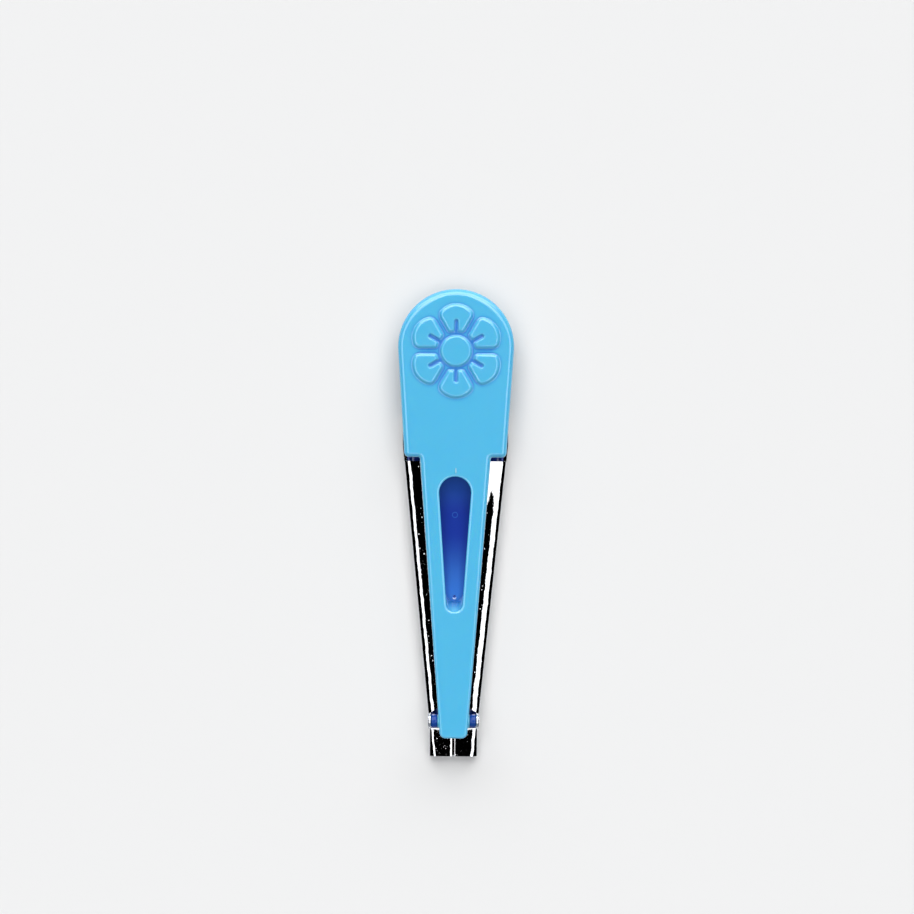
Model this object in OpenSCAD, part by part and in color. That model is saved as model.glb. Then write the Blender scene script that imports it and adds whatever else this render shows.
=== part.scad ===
// Bias tape maker: a folder of plated sheet turns the edges of a fabric strip in,
// and a hinged plastic handle holds the strip down and pulls the tool along.
// The tool lies on its floor with the tip towards -Y and the handle's head towards +Y.
// Places along the tool are distances from the tip; in_place() moves them to the origin,
// which is the bottom centre of the whole tool.

/* [Tape] */
// Width of the finished folded tape
tape_w = 6; // [5:0.25:7]
// Room beside the tape inside the tip tube, on each side
tape_play = 0.3; // [0.1:0.05:0.4]

/* [Folder] */
// Thickness of the plated sheet
sheet_t = 0.4; // [0.3:0.05:0.5]
// Outer radius of the folded edges
bend_r = 0.9; // [0.7:0.05:1]
// Length of the folder from tip to mouth
folder_len = 52.9; // [48:0.1:60]
// Outer width of the mouth, where the strip goes in
mouth_w = 16.25; // [14.5:0.05:18]
// Length of the parallel sides at the mouth
mouth_len = 4.9; // [3:0.1:7]
// Radius of the side walls' rear corners
mouth_corner_r = 1.5; // [0.5:0.1:1.8]

/* [Tip tube] */
// Length of the flat tube at the tip
tube_len = 4.35; // [3:0.05:6]
// Outer height of the tube
tube_h = 2.2; // [2:0.05:2.6]
// Gap between the two flaps that close the tube
seam_gap = 0.35; // [0.2:0.05:0.8]

/* [Rails] */
// Outer height of the rails
rail_h = 3; // [2.7:0.05:3.6]
// Width of each flap that turns in over the floor
flap_w = 3; // [2.6:0.1:3.1]
// Angle at which the flaps slope down towards the middle
flap_dip = 2; // [0:0.5:4]
// Distance of the flaps' rear ends from the mouth
flap_setback = 7.4; // [6:0.1:9]
// Length of the notch between the tube and the rails
notch_len = 2.2; // [2.1:0.05:3]
// Angle at which the flaps' front ends are cut
notch_angle = 34; // [0:1:40]

/* [Liner] */
// Thickness of the plastic liner on the floor
liner_t = 0.7; // [0.5:0.05:0.9]
// Height of the liner's side lips above its floor
lip_h = 0.8; // [0.75:0.05:0.9]
// Thickness of the side lips
lip_t = 0.4; // [0.3:0.05:0.5]
// Radius of the hollow corner between the liner's floor and its lips
lip_hollow_r = 0.45; // [0.2:0.05:0.5]
// Clearance between the liner and the folder's walls
liner_play = 0.08; // [0.05:0.01:0.15]
// Length of the ramps at the liner's two ends
liner_ramp = 1.8; // [1:0.1:3]
// Height of the liner's edge at the foot of each ramp
liner_edge = 0.25; // [0.15:0.05:0.4]
// Distance of the rear stake from the mouth
stake_setback = 15.7; // [12:0.1:20]
// Distance between the two stakes
stake_pitch = 12.7; // [8:0.1:16]
// Diameter of the stakes at the top of the sheet
stake_d = 1.1; // [0.8:0.05:1.4]
// Diameter of the stakes' spread heads at the bottom of the sheet
stake_head_d = 1.9; // [1.5:0.05:2.4]
// Clearance around the stakes
stake_play = 0.03; // [0.02:0.01:0.08]
// Diameter of the sunk mark above each stake
dimple_d = 0.7; // [0.4:0.05:1]
// Depth of the sunk mark
dimple_depth = 0.12; // [0.05:0.01:0.2]

/* [Handle] */
// Thickness of the handle's plate
handle_t = 2.4; // [2.2:0.05:3]
// Clearance between the handle and the rails under it
rail_play = 0.2; // [0.1:0.05:0.4]
// Width of the round head
head_w = 17.8; // [16.5:0.1:20]
// Length of the head from the shoulders to its far end
head_len = 25.8; // [20:0.1:32]
// Width across the shoulders
shoulder_w = 15.7; // [14:0.1:17]
// Gap between the shoulders and the rails' rear ends
shoulder_gap = 0.6; // [0.3:0.05:1.5]
// Radius of the shoulders' corners
shoulder_r = 0.6; // [0.2:0.05:1.5]
// Width of the strap where it leaves the head
strap_rear_w = 10.9; // [10:0.1:12.5]
// Width of the strap's nose
nose_w = 4.25; // [3.8:0.05:4.6]
// Radius of the nose's corners
nose_r = 0.9; // [0.4:0.05:1.4]
// Radius of the handle's upper edges
edge_r = 0.6; // [0.4:0.05:1]
// Bevel of the handle's lower edges
under_bevel = 0.15; // [0.05:0.05:0.4]

/* [Keel] */
// Gap between the keel and the liner, where the strip runs
strip_gap = 0.5; // [0.3:0.05:0.7]
// Clearance between the keel and the flaps' edges
keel_play = 0.35; // [0.2:0.05:0.6]
// Distance from the hinge to the keel's front end
keel_setback = 3; // [2.5:0.1:6]
// Length of the ramp that leads the strip in under the keel
keel_ramp = 4; // [2:0.1:6]

/* [Awl slot] */
// Distance from the shoulders to the slot's rear end
slot_setback = 2.95; // [2.5:0.05:6]
// Length of the slot
slot_len = 20.75; // [14:0.05:26]
// Width of the slot's rear end
slot_rear_w = 4.9; // [4.4:0.05:5.2]
// Width of the slot's front end
slot_front_w = 2.5; // [1.6:0.05:2.8]
// Length of the slope at the slot's front end
slot_ramp = 1.6; // [1:0.05:4]
// Bevel of the slot's rim
slot_rim = 0.25; // [0.1:0.05:0.4]

/* [Flower] */
// Height of the raised flower
flower_h = 0.3; // [0.15:0.05:0.5]
// Number of petals
petal_n = 6; // [5:1:8]
// Distance from the flower's centre to a petal's end
petal_reach = 7.1; // [6.5:0.1:7.8]
// Radius of a petal's round end
petal_end_r = 3.1; // [2.4:0.1:3.6]
// Radius of a petal's corners
petal_corner_r = 0.5; // [0.2:0.05:0.8]
// Gap between neighbouring petals
petal_gap = 0.9; // [0.5:0.05:1.2]
// Bevel of the petals' edges
petal_bevel = 0.14; // [0.05:0.01:0.25]
// Diameter of the disc in the middle
disc_d = 4.8; // [3.6:0.1:5.2]
// Width of the groove around the disc
disc_gap = 0.6; // [0.3:0.05:0.9]
// Width of the groove in each petal
vein_w = 0.5; // [0.3:0.05:0.8]
// Length of the groove in each petal
vein_len = 1.8; // [1:0.1:2.6]
// Distance of the flower's centre from the centre of the round head, towards the tip
flower_drop = 0.55; // [0:0.05:1]

/* [Hinge] */
// Distance of the hinge behind the tube
hinge_setback = 1.3; // [1.25:0.05:1.6]
// Height of the hinge above the handle's underside
hinge_rise = 1; // [0.9:0.05:1.3]
// Distance that the nose reaches past the hinge
nose_reach = 2.55; // [2.2:0.05:3.4]
// Angle to which the handle opens
open_angle = 35; // [20:1:40]
// Gap left under the nose when it comes to rest on the tube
stop_gap = 0.05; // [0.03:0.01:0.1]
// Diameter of the rivet
pin_d = 1; // [0.8:0.05:1.2]
// Radial clearance of the rivet in the turning parts
pin_play = 0.05; // [0.02:0.01:0.09]
// Diameter of the rivet's heads
rivet_head_d = 2.4; // [1.8:0.05:2.4]
// Thickness of the rivet's heads
rivet_head_t = 0.2; // [0.2:0.05:0.5]
// Diameter of the ears' round ends
ear_d = 2.5; // [2.2:0.05:2.6]
// Width of the ears' necks
ear_neck_w = 2.2; // [1.8:0.05:2.2]
// Diameter of the washers and of the handle's hub
hub_d = 2.1; // [1.8:0.05:2.3]
// Width of the handle's hub across its two faces
hub_w = 4.9; // [4.6:0.05:5.2]
// Clearance between hub, washers and ears
side_play = 0.05; // [0.03:0.01:0.08]

/* [Hidden] */
$fn = 64;
// Steps in each rounded bend of a lofted section
bend_steps = 8;
// Facets of the outlines that hulls join
hull_fn = 32;
// Thickness of the thinnest slice of a hull
slice = 0.002;
// Overlap that makes a cut reach past the surface it cuts
past = 1;
// Depth by which joined shapes run into each other
root = 0.3;

// Places along the tool, as distances from the tip
tube_w = tape_w + 2 * (tape_play + sheet_t);
taper_end = folder_len - mouth_len;
rail_rear = folder_len - flap_setback;
rail_front = tube_len + notch_len;
shoulder_at = rail_rear + shoulder_gap;
overall_len = shoulder_at + head_len;
head_at = overall_len - head_w / 2;
hinge_at = tube_len + hinge_setback;
nose_at = hinge_at - nose_reach;
keel_front = hinge_at + keel_setback;
keel_rear = shoulder_at + keel_ramp;
slot_rear = shoulder_at - slot_setback;
slot_front = slot_rear - slot_len;
flower_at = head_at - flower_drop;
stake_rear = folder_len - stake_setback;
stake_front = stake_rear - stake_pitch;

// Heights above the surface that the tool lies on
wall_top = rail_h - bend_r;
liner_top = sheet_t + liner_t;
keel_bottom = liner_top + strip_gap;
handle_bottom = rail_h + rail_play;
handle_top = handle_bottom + handle_t;
hinge_z = handle_bottom + hinge_rise;

// Places across the tool
taper = ((mouth_w - tube_w) / 2) / (taper_end - tube_len);
ear_outer = half_width(hinge_at);
ear_inner = ear_outer - sheet_t;
washer_t = ear_inner - hub_w / 2 - 2 * side_play;

// Half the folder's outer width at distance s from the tip
function half_width(s) = tube_w / 2 + taper * (min(max(s, tube_len), taper_end) - tube_len);

// Points on an arc around c, from angle a0 to angle a1
function arc(c, r, a0, a1, n) =
    [for (i = [0:n]) c + r * [cos(a0 + (a1 - a0) * i / n), sin(a0 + (a1 - a0) * i / n)]];

// The same outline seen in a mirror, in reverse order so that it runs on from the first
function mirrored_points(points) =
    [for (i = [len(points) - 1:-1:0]) [-points[i].x, points[i].y]];

// Direction of the outward normal of the line that touches two circles on their right
function side_normal(c0, r0, c1, r1) =
    let (v = c1 - c0) atan2(v.y, v.x) - acos((r0 - r1) / norm(v));

// Point where a flap's face that lies r from the centre of its bend ends at x
function flap_end(half, height, x, dip, r) =
    [x, height - bend_r + r / cos(dip) - (half - bend_r - x) * tan(dip)];

// Outer half of the folded sheet, from the floor to the edge of its flap
function sheet_outside(half, height, flap, dip) = concat(
    arc([half - bend_r, bend_r], bend_r, -90, 0, bend_steps),
    arc([half - bend_r, height - bend_r], bend_r, 0, 90 + dip, bend_steps),
    [flap_end(half, height, half - flap, dip, bend_r)]
);

// Inner half of the folded sheet, from the edge of its flap back to the floor
function sheet_inside(half, height, flap, dip) = concat(
    [flap_end(half, height, half - flap, dip, bend_r - sheet_t)],
    arc([half - bend_r, height - bend_r], bend_r - sheet_t, 90 + dip, 0, bend_steps),
    arc([half - bend_r, bend_r], bend_r - sheet_t, 0, -90, bend_steps)
);

// Section through the folded sheet, out along its outer face and back along its inner face
function sheet_section(half, height, flap, dip) = concat(
    mirrored_points(sheet_outside(half, height, flap, dip)),
    sheet_outside(half, height, flap, dip),
    sheet_inside(half, height, flap, dip),
    mirrored_points(sheet_inside(half, height, flap, dip))
);

// Outer half of the liner's section: round lower corner and the outside of a round-topped lip
function liner_outside(half) = concat(
    arc([half - bend_r + sheet_t, bend_r], bend_r - sheet_t, -90, 0, bend_steps),
    arc([half - lip_t / 2, liner_top + lip_h - lip_t / 2], lip_t / 2, 0, 80, bend_steps)
);

// Inner half of the liner's section: the inside of the lip and the hollow corner below it
function liner_inside(half) = concat(
    arc([half - lip_t / 2, liner_top + lip_h - lip_t / 2], lip_t / 2, 100, 180, bend_steps),
    arc([half - lip_t - lip_hollow_r, liner_top + lip_hollow_r], lip_hollow_r, 0, -90, bend_steps)
);

function liner_section(half) = concat(
    mirrored_points(liner_outside(half)),
    liner_outside(half),
    liner_inside(half),
    mirrored_points(liner_inside(half))
);

// Moves what is drawn at distances from the tip to its place around the origin
module in_place() {
    translate([0, -overall_len / 2, 0]) children();
}

// Draws its children on the right and, mirrored, on the left
module both_sides() {
    children();
    mirror([1, 0, 0]) children();
}

// Extrudes an outline drawn in the plane of the side view, from x0 to x1
module across(x0, x1) {
    translate([x0, 0, 0]) rotate([90, 0, 90]) linear_extrude(x1 - x0) children();
}

// Bar along X through the hinge's axis
module hinge_bar(d, x0, x1) {
    translate([x0, hinge_at, hinge_z]) rotate([0, 90, 0]) cylinder(h = x1 - x0, d = d);
}

// Solid skinned through sections of equal point counts, each at its own distance.
// A section runs out along one face and back along the other, so strips close the two ends.
module loft(places, sections) {
    count = len(sections[0]);
    last = len(sections) - 1;
    rear = last * count;
    polyhedron(
        points = [for (k = [0:last]) for (p = sections[k]) [p.x, places[k], p.y]],
        faces = concat(
            [for (i = [0:count / 2 - 2]) [count - 1 - i, count - 2 - i, i + 1, i]],
            [for (i = [0:count / 2 - 2])
                [rear + i, rear + i + 1, rear + count - 2 - i, rear + count - 1 - i]],
            [for (k = [0:last - 1]) for (i = [0:count - 1]) let (j = (i + 1) % count)
                [k * count + i, k * count + j, (k + 1) * count + j, (k + 1) * count + i]]
        )
    );
}

// Plate of thickness t with its upper edges rounded and its lower edges bevelled
module rounded_plate(t, r, bevel) {
    hull() {
        linear_extrude(slice) offset(delta = -bevel) children();
        translate([0, 0, bevel]) linear_extrude(t - r - bevel) children();
        for (a = [15:15:90])
            translate([0, 0, t - r + r * sin(a) - slice])
                linear_extrude(slice) offset(delta = -r * (1 - cos(a))) children();
    }
}

// The tapering channel, with both flaps from end to end
module channel() {
    places = [tube_len, taper_end, folder_len];
    loft(places, [for (s = places) sheet_section(half_width(s), rail_h, flap_w, flap_dip)]);
}

// Cuts that free the channel's walls of their flaps at the notch and at the mouth
module flap_cuts() {
    reach = half_width(rail_front);
    slant = tan(notch_angle);
    translate([0, 0, wall_top]) {
        both_sides()
            linear_extrude(rail_h)
                polygon([
                    [-past, tube_len - past],
                    [reach + past, tube_len - past],
                    [reach + past, rail_front - past * slant],
                    [-past, rail_front + (reach + past) * slant]
                ]);
        translate([-mouth_w, rail_rear, 0]) cube([2 * mouth_w, folder_len, rail_h]);
    }
}

// Rounds the rear upper corners of the side walls
module mouth_corners() {
    across(-mouth_w, mouth_w)
        translate([folder_len - mouth_corner_r, wall_top - mouth_corner_r])
            difference() {
                square(mouth_corner_r + past);
                circle(mouth_corner_r);
            }
}

// Flat tube at the tip, closed by two flaps that meet at a seam
module tip_tube() {
    flap = (tube_w - seam_gap) / 2;
    section = sheet_section(tube_w / 2, tube_h, flap, 0);
    loft([0, tube_len], [section, section]);
}

// Ear that rises from the right wall and carries the rivet
module ear() {
    across(ear_inner, ear_outer) {
        translate([hinge_at, hinge_z]) circle(d = ear_d);
        translate([hinge_at - ear_neck_w / 2, wall_top - root])
            square([ear_neck_w, hinge_z - wall_top + root]);
    }
}

// Spread stake, or the hole for it when play is added
module stake(play) {
    cylinder(h = sheet_t, d1 = stake_head_d + 2 * play, d2 = stake_d + 2 * play);
}

module at_stakes() {
    for (s = [stake_front, stake_rear])
        translate([0, s, 0]) children();
}

module folder() {
    color("silver") in_place() difference() {
        union() {
            difference() {
                channel();
                flap_cuts();
                mouth_corners();
            }
            tip_tube();
            both_sides() ear();
        }
        hinge_bar(pin_d + 2 * pin_play, -mouth_w, mouth_w);
        at_stakes() stake(stake_play);
    }
}

// Slopes the liner's floor down to a thin edge at one end; toward is 1 at the mouth
module liner_slope(end_at, toward) {
    across(-mouth_w, mouth_w)
        polygon([
            [end_at + toward * past, sheet_t + liner_edge],
            [end_at, sheet_t + liner_edge],
            [end_at - toward * liner_ramp, liner_top],
            [end_at - toward * liner_ramp, rail_h],
            [end_at + toward * past, rail_h]
        ]);
}

module liner() {
    front = tube_len + liner_play;
    rear = folder_len - liner_play;
    places = [front, taper_end, rear];
    half_front = ear_inner - liner_play;
    color("darkblue") in_place() {
        difference() {
            loft(places, [for (s = places) liner_section(half_width(s) - sheet_t - liner_play)]);
            // The lips stop short of the ears
            both_sides()
                translate([half_front, front - past, 0])
                    cube([mouth_w, rail_front - front + past, rail_h]);
            liner_slope(front, -1);
            liner_slope(rear, 1);
            at_stakes()
                translate([0, 0, liner_top - dimple_depth])
                    cylinder(h = dimple_depth + past, d1 = dimple_d / 2, d2 = dimple_d + 4 * past);
        }
        at_stakes() {
            stake(0);
            translate([0, 0, sheet_t]) cylinder(h = root, d = stake_d);
        }
    }
}

// Round head with straight sides that run down to the shoulders
module head_outline() {
    corner = [shoulder_w / 2 - shoulder_r, shoulder_at + shoulder_r];
    turn = side_normal(corner, shoulder_r, [0, head_at], head_w / 2);
    right = concat(
        arc(corner, shoulder_r, -90, turn, bend_steps),
        arc([0, head_at], head_w / 2, turn, 90, 4 * bend_steps)
    );
    polygon(concat(right, mirrored_points(right)));
}

// Tapered strap from the nose back into the head
module strap_outline() {
    corner = [nose_w / 2 - nose_r, nose_at + nose_r];
    rear = [strap_rear_w / 2, shoulder_at];
    turn = side_normal(corner, nose_r, rear, 0);
    right = concat(
        arc(corner, nose_r, -90, turn, bend_steps),
        [rear, rear + [0, 2 * edge_r]]
    );
    polygon(concat(right, mirrored_points(right)));
}

// Tongue under the strap that runs between the flaps and holds the strip down
module keel() {
    half_front = half_width(keel_front) - flap_w - keel_play;
    half_rear = half_width(taper_end) - flap_w - keel_play;
    difference() {
        translate([0, 0, keel_bottom])
            linear_extrude(handle_bottom + root - keel_bottom) {
                polygon([
                    [-half_front, keel_front],
                    [half_front, keel_front],
                    [half_rear, taper_end],
                    [half_rear, keel_rear],
                    [-half_rear, keel_rear],
                    [-half_rear, taper_end]
                ]);
                translate([0, keel_front]) circle(half_front);
            }
        across(-mouth_w, mouth_w)
            polygon([
                [keel_rear - keel_ramp, keel_bottom - past],
                [keel_rear - keel_ramp, keel_bottom],
                [keel_rear, handle_bottom],
                [keel_rear + past, handle_bottom],
                [keel_rear + past, keel_bottom - past]
            ]);
    }
}

// Outline of the awl slot, wider all round by the amount given
module slot_outline(grow) {
    front = [0, slot_front + slot_front_w / 2];
    rear = [0, slot_rear - slot_rear_w / 2];
    turn = side_normal(front, slot_front_w / 2, rear, slot_rear_w / 2);
    polygon(concat(
        arc(front, slot_front_w / 2 + grow, -180 - turn, turn, 3 * bend_steps),
        arc(rear, slot_rear_w / 2 + grow, turn, 180 - turn, 3 * bend_steps)
    ));
}

// The awl slot: straight walls, a sloping front end and a bevelled rim
module awl_slot() {
    difference() {
        translate([0, 0, keel_bottom - past])
            linear_extrude(handle_top + 2 * past - keel_bottom) slot_outline(0);
        across(-slot_rear_w, slot_rear_w)
            polygon([
                [slot_front - past, handle_top],
                [slot_front, handle_top],
                [slot_front + slot_ramp, keel_bottom],
                [slot_front + slot_ramp, keel_bottom - 2 * past],
                [slot_front - past, keel_bottom - 2 * past]
            ]);
    }
    hull() {
        translate([0, 0, handle_top - slot_rim]) linear_extrude(slice) slot_outline(0);
        translate([0, 0, handle_top]) linear_extrude(slice) slot_outline(slot_rim);
    }
}

// One petal, pointing along +Y from the flower's centre
module petal_outline() {
    root_r = disc_d / 2 + disc_gap;
    side = 180 / petal_n;
    apex = petal_gap / 2 / sin(side);
    far = 2 * petal_reach;
    offset(r = petal_corner_r, $fn = hull_fn) offset(delta = -petal_corner_r)
        difference() {
            intersection() {
                translate([0, petal_reach - petal_end_r]) circle(petal_end_r);
                polygon([[0, apex], [far * tan(side), apex + far], [-far * tan(side), apex + far]]);
            }
            circle(root_r);
        }
}

// Petal with bevelled edges and a groove that runs out from the disc
module petal() {
    middle = (disc_d / 2 + disc_gap + petal_reach) / 2;
    taper_scale = 1 - petal_bevel / petal_end_r;
    difference() {
        translate([0, middle, -root])
            linear_extrude(flower_h + root, scale = taper_scale)
                translate([0, -middle]) petal_outline();
        translate([-vein_w / 2, 0, 0])
            cube([vein_w, disc_d / 2 + disc_gap + vein_len, flower_h + past]);
    }
}

// Disc in the middle of the flower, with a bevelled rim
module flower_disc() {
    rotate_extrude()
        polygon([
            [0, -root],
            [disc_d / 2, -root],
            [disc_d / 2, flower_h - petal_bevel],
            [disc_d / 2 - petal_bevel, flower_h],
            [0, flower_h]
        ]);
}

// Raised flower on the head: a disc and a ring of petals
module flower() {
    translate([0, flower_at, handle_top]) {
        for (i = [0:petal_n - 1])
            rotate([0, 0, i * 360 / petal_n]) petal();
        flower_disc();
    }
}

// Slopes the underside of the nose so that it lands flat on the tube at the open angle
module nose_relief() {
    drop = hinge_z - tube_h - stop_gap;
    translate([0, hinge_at, hinge_z]) rotate([-open_angle, 0, 0])
        translate([-mouth_w, -mouth_w, -drop - mouth_w]) cube([2 * mouth_w, 2 * mouth_w, mouth_w]);
}

module handle() {
    color("deepskyblue") in_place() difference() {
        union() {
            translate([0, 0, handle_bottom]) {
                rounded_plate(handle_t, edge_r, under_bevel) head_outline();
                rounded_plate(handle_t, edge_r, under_bevel) strap_outline();
            }
            keel();
            hinge_bar(hub_d, -hub_w / 2, hub_w / 2);
            flower();
        }
        awl_slot();
        nose_relief();
        hinge_bar(pin_d + 2 * pin_play, -mouth_w, mouth_w);
    }
}

// Rivet with a low domed head on each ear
module hinge_rivet() {
    head_r = rivet_head_d / 2;
    dome_r = (head_r * head_r + rivet_head_t * rivet_head_t) / (2 * rivet_head_t);
    rim = asin(head_r / dome_r);
    color("gainsboro") in_place() {
        hinge_bar(pin_d, -ear_outer - rivet_head_t / 2, ear_outer + rivet_head_t / 2);
        both_sides()
            translate([ear_outer, hinge_at, hinge_z]) rotate([0, 90, 0]) rotate_extrude()
                polygon(concat(
                    [[0, 0]],
                    arc([0, rivet_head_t - dome_r], dome_r, 90 - rim, 90, bend_steps)
                ));
    }
}

// Spacer on the rivet between the hub and an ear; side is 1 on the right
module washer(side) {
    inner = hub_w / 2 + side_play;
    color("darkblue") in_place() mirror([side < 0 ? 1 : 0, 0, 0]) difference() {
        hinge_bar(hub_d, inner, inner + washer_t);
        hinge_bar(pin_d + 2 * pin_play, inner - past, inner + washer_t + past);
    }
}

module washer_left() {
    washer(-1);
}

module washer_right() {
    washer(1);
}

folder();
liner();
handle();
hinge_rivet();
washer_left();
washer_right();
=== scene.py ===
"""Looks of the bias tape maker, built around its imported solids.

Places along the tool are distances s from the tip, in millimetres, as on a maker's drawing.
Every shape is worked out in millimetres and set into its mesh in metres.
"""

import bpy
import bmesh
import numpy as np
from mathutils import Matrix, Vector
from mathutils.geometry import delaunay_2d_cdt


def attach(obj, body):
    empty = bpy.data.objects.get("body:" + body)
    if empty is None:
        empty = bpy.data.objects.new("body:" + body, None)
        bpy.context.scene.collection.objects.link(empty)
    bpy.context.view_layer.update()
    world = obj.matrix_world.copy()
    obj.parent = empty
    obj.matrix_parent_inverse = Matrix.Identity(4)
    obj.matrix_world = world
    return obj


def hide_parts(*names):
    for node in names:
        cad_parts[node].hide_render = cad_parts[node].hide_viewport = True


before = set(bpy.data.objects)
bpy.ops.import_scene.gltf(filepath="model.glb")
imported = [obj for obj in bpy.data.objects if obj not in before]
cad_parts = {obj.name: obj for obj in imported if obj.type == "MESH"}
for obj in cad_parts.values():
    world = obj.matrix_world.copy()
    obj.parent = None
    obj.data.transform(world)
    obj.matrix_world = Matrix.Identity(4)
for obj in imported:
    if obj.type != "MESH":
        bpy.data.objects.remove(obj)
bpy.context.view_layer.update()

MM = 0.001
PI = np.pi

# Places along the tool and heights above the table, as the solids have them
OVERALL = 71.9
TUBE_LEN = 4.35
TUBE_HALF = 3.7
TUBE_H = 2.2
FOLDER_LEN = 52.9
MOUTH_HALF = 8.125
TAPER_END = 48.0
TAPER = (MOUTH_HALF - TUBE_HALF) / (TAPER_END - TUBE_LEN)
RAIL_FRONT = 6.55
RAIL_REAR = 45.5
RAIL_H = 3.0
SHEET = 0.4
BEND = 0.9
WALL_TOP = 2.1
SHOULDER = 46.1
PLATE_LOW = 3.2
PLATE_TOP = 5.6
KEEL_LOW = 1.6
HINGE_S = 5.65
HINGE_Z = 4.2
OPEN_ANGLE = 35
EAR_X = 3.8318
HEAD_S = 63.0
HEAD_R = 8.9
FLOWER_S = 62.35


def smooth(a, b, x):
    """Smooth step: 0 up to a, 1 from b on, and 3q2 - 2q3 of the share q between them."""
    q = np.clip((x - a) / (b - a), 0, 1)
    return q * q * (3 - 2 * q)


def half_width(s):
    """Half the folder's outer width: the tube's, then a straight taper out to the mouth's."""
    return TUBE_HALF + TAPER * (np.clip(s, TUBE_LEN, TAPER_END) - TUBE_LEN)


# Meshes


def grid_faces(rows, cols, closed=False, flip=False):
    """Quads between neighbouring rows and columns; closed joins the last column to the first."""
    r = np.arange(rows - 1)[:, None]
    c = np.arange(cols if closed else cols - 1)[None, :]
    n = (c + 1) % cols
    quads = np.stack([r * cols + c, r * cols + n, (r + 1) * cols + n, (r + 1) * cols + c], -1)
    quads = quads.reshape(-1, 4)
    return quads[:, ::-1] if flip else quads


def grid(points, closed=False, flip=False):
    """A grid of points as one part of a piece: its points in a row and its quads."""
    rows, cols = points.shape[:2]
    return points.reshape(-1, 3), grid_faces(rows, cols, closed, flip).tolist()


def mirrored(part):
    """The same part on the other side of the tool, with its faces turned back outwards."""
    points, faces = part
    return points * [-1, 1, 1], [f[::-1] for f in faces]


def inside(loop, points):
    """Whether each point lies in a closed outline, by the crossings of a line to its right."""
    a, b = loop, np.roll(loop, -1, axis=0)
    x, y = points[:, 0:1], points[:, 1:2]
    rise = b[:, 1] - a[:, 1]
    rise = np.where(np.abs(rise) < 1e-12, 1e-12, rise)
    cross = a[:, 0] + (y - a[:, 1]) / rise * (b[:, 0] - a[:, 0])
    hit = ((a[:, 1] > y) != (b[:, 1] > y)) & (x < cross)
    return hit.sum(1) % 2 == 1


def flat_fill(outer, holes, height, down=False, creases=()):
    """Face between an outline and the holes in it, in plan: the triangles of a constrained
    triangulation whose middles lie inside the one and outside the others. height gives the
    level of each point, and creases are lines across at which the level bends."""
    loops = [outer, *holes]
    points = np.concatenate(loops + [np.array(c) for c in creases])
    edges, start = [], 0
    for loop in loops:
        n = len(loop)
        edges += [(start + i, start + (i + 1) % n) for i in range(n)]
        start += n
    for crease in creases:
        edges += [(start + i, start + i + 1) for i in range(len(crease) - 1)]
        start += len(crease)
    made = delaunay_2d_cdt([Vector(p) for p in points.tolist()], edges, [], 0, 1e-7)
    flat = np.array([tuple(v) for v in made[0]])
    tris = np.array(made[2])
    middle = flat[tris].mean(1)
    keep = inside(outer, middle)
    for hole in holes:
        keep &= ~inside(hole, middle)
    a, b, c = (flat[tris][:, i] for i in range(3))
    turn = (b - a)[:, 0] * (c - a)[:, 1] - (b - a)[:, 1] * (c - a)[:, 0]
    keep &= np.abs(turn) > 1e-9
    tris = np.where((turn < 0)[:, None] ^ down, tris[:, ::-1], tris)[keep]
    return np.column_stack([flat, height(flat[:, 0], flat[:, 1])]), tris.tolist()


def piece(name, parts, body, slot, material, *nodes):
    """One object from its parts: their points joined where they meet, shaded smooth, riding on
    a body and standing for the solids named."""
    points, faces, start = [], [], 0
    for p, f in parts:
        points.append(p)
        faces += [[i + start for i in face] for face in f]
        start += len(p)
    points = np.concatenate(points) - [0, OVERALL / 2, 0]
    mesh = bpy.data.meshes.new(name)
    mesh.from_pydata((points * MM).tolist(), [], faces)
    work = bmesh.new()
    work.from_mesh(mesh)
    bmesh.ops.remove_doubles(work, verts=work.verts, dist=2e-6)
    bmesh.ops.dissolve_degenerate(work, edges=work.edges, dist=1e-7)
    bmesh.ops.recalc_face_normals(work, faces=work.faces)
    low = min(work.faces, key=lambda f: f.calc_center_median().z)
    if low.normal.z > 0:
        bmesh.ops.reverse_faces(work, faces=work.faces)
    work.to_mesh(mesh)
    work.free()
    mesh.shade_smooth()
    obj = bpy.data.objects.new(name, mesh)
    bpy.context.scene.collection.objects.link(obj)
    obj.data.materials.append(material)
    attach(obj, body)
    if nodes:
        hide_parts(*nodes)
    return obj


def sweep(path, normals, inset, heights, flip=False):
    """Profile carried along a closed path: each row is the path moved in by its inset."""
    rows = path[None] - inset[..., None] * normals[None]
    points = np.concatenate([rows, heights[..., None]], -1)
    return grid(points, closed=True, flip=flip)


def turned(profile, s, z, steps=64):
    """Profile of (x, radius) points turned about the line across the tool at (s, z)."""
    a = np.linspace(0, 2 * PI, steps, endpoint=False)
    x, r = profile[:, 0:1], profile[:, 1:2]
    points = np.stack([x + 0 * a, s + r * np.sin(a), z + r * np.cos(a)], -1)
    return grid(points, closed=True)


def rounded(profile, r, steps=4):
    """Polyline with each inner corner replaced by a curve of about radius r: the quadratic
    curve from r before the corner to r after it."""
    out = [profile[0]]
    for a, b, c in zip(profile[:-2], profile[1:-1], profile[2:]):
        u = (a - b) / np.linalg.norm(a - b)
        v = (c - b) / np.linalg.norm(c - b)
        q = np.linspace(0, 1, steps + 1)[:, None]
        out += list((1 - q) ** 2 * (b + r * u) + 2 * q * (1 - q) * b + q ** 2 * (b + r * v))
    return np.array(out + [profile[-1]])


# Materials


def node(tree, kind, x=0, **values):
    """New shader node with its settings and the plain values of its sockets."""
    new = tree.nodes.new(kind)
    new.location.x = x
    for key, value in values.items():
        if hasattr(new, key):
            setattr(new, key, value)
        else:
            new.inputs[key.replace("_", " ")].default_value = value
    return new


def colour(r, g, b):
    """Linear colour of an sRGB one given in 0 to 255."""
    c = np.array([r, g, b]) / 255
    linear = np.where(c <= 0.04045, c / 12.92, ((c + 0.055) / 1.055) ** 2.4)
    return (*linear.tolist(), 1)


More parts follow.
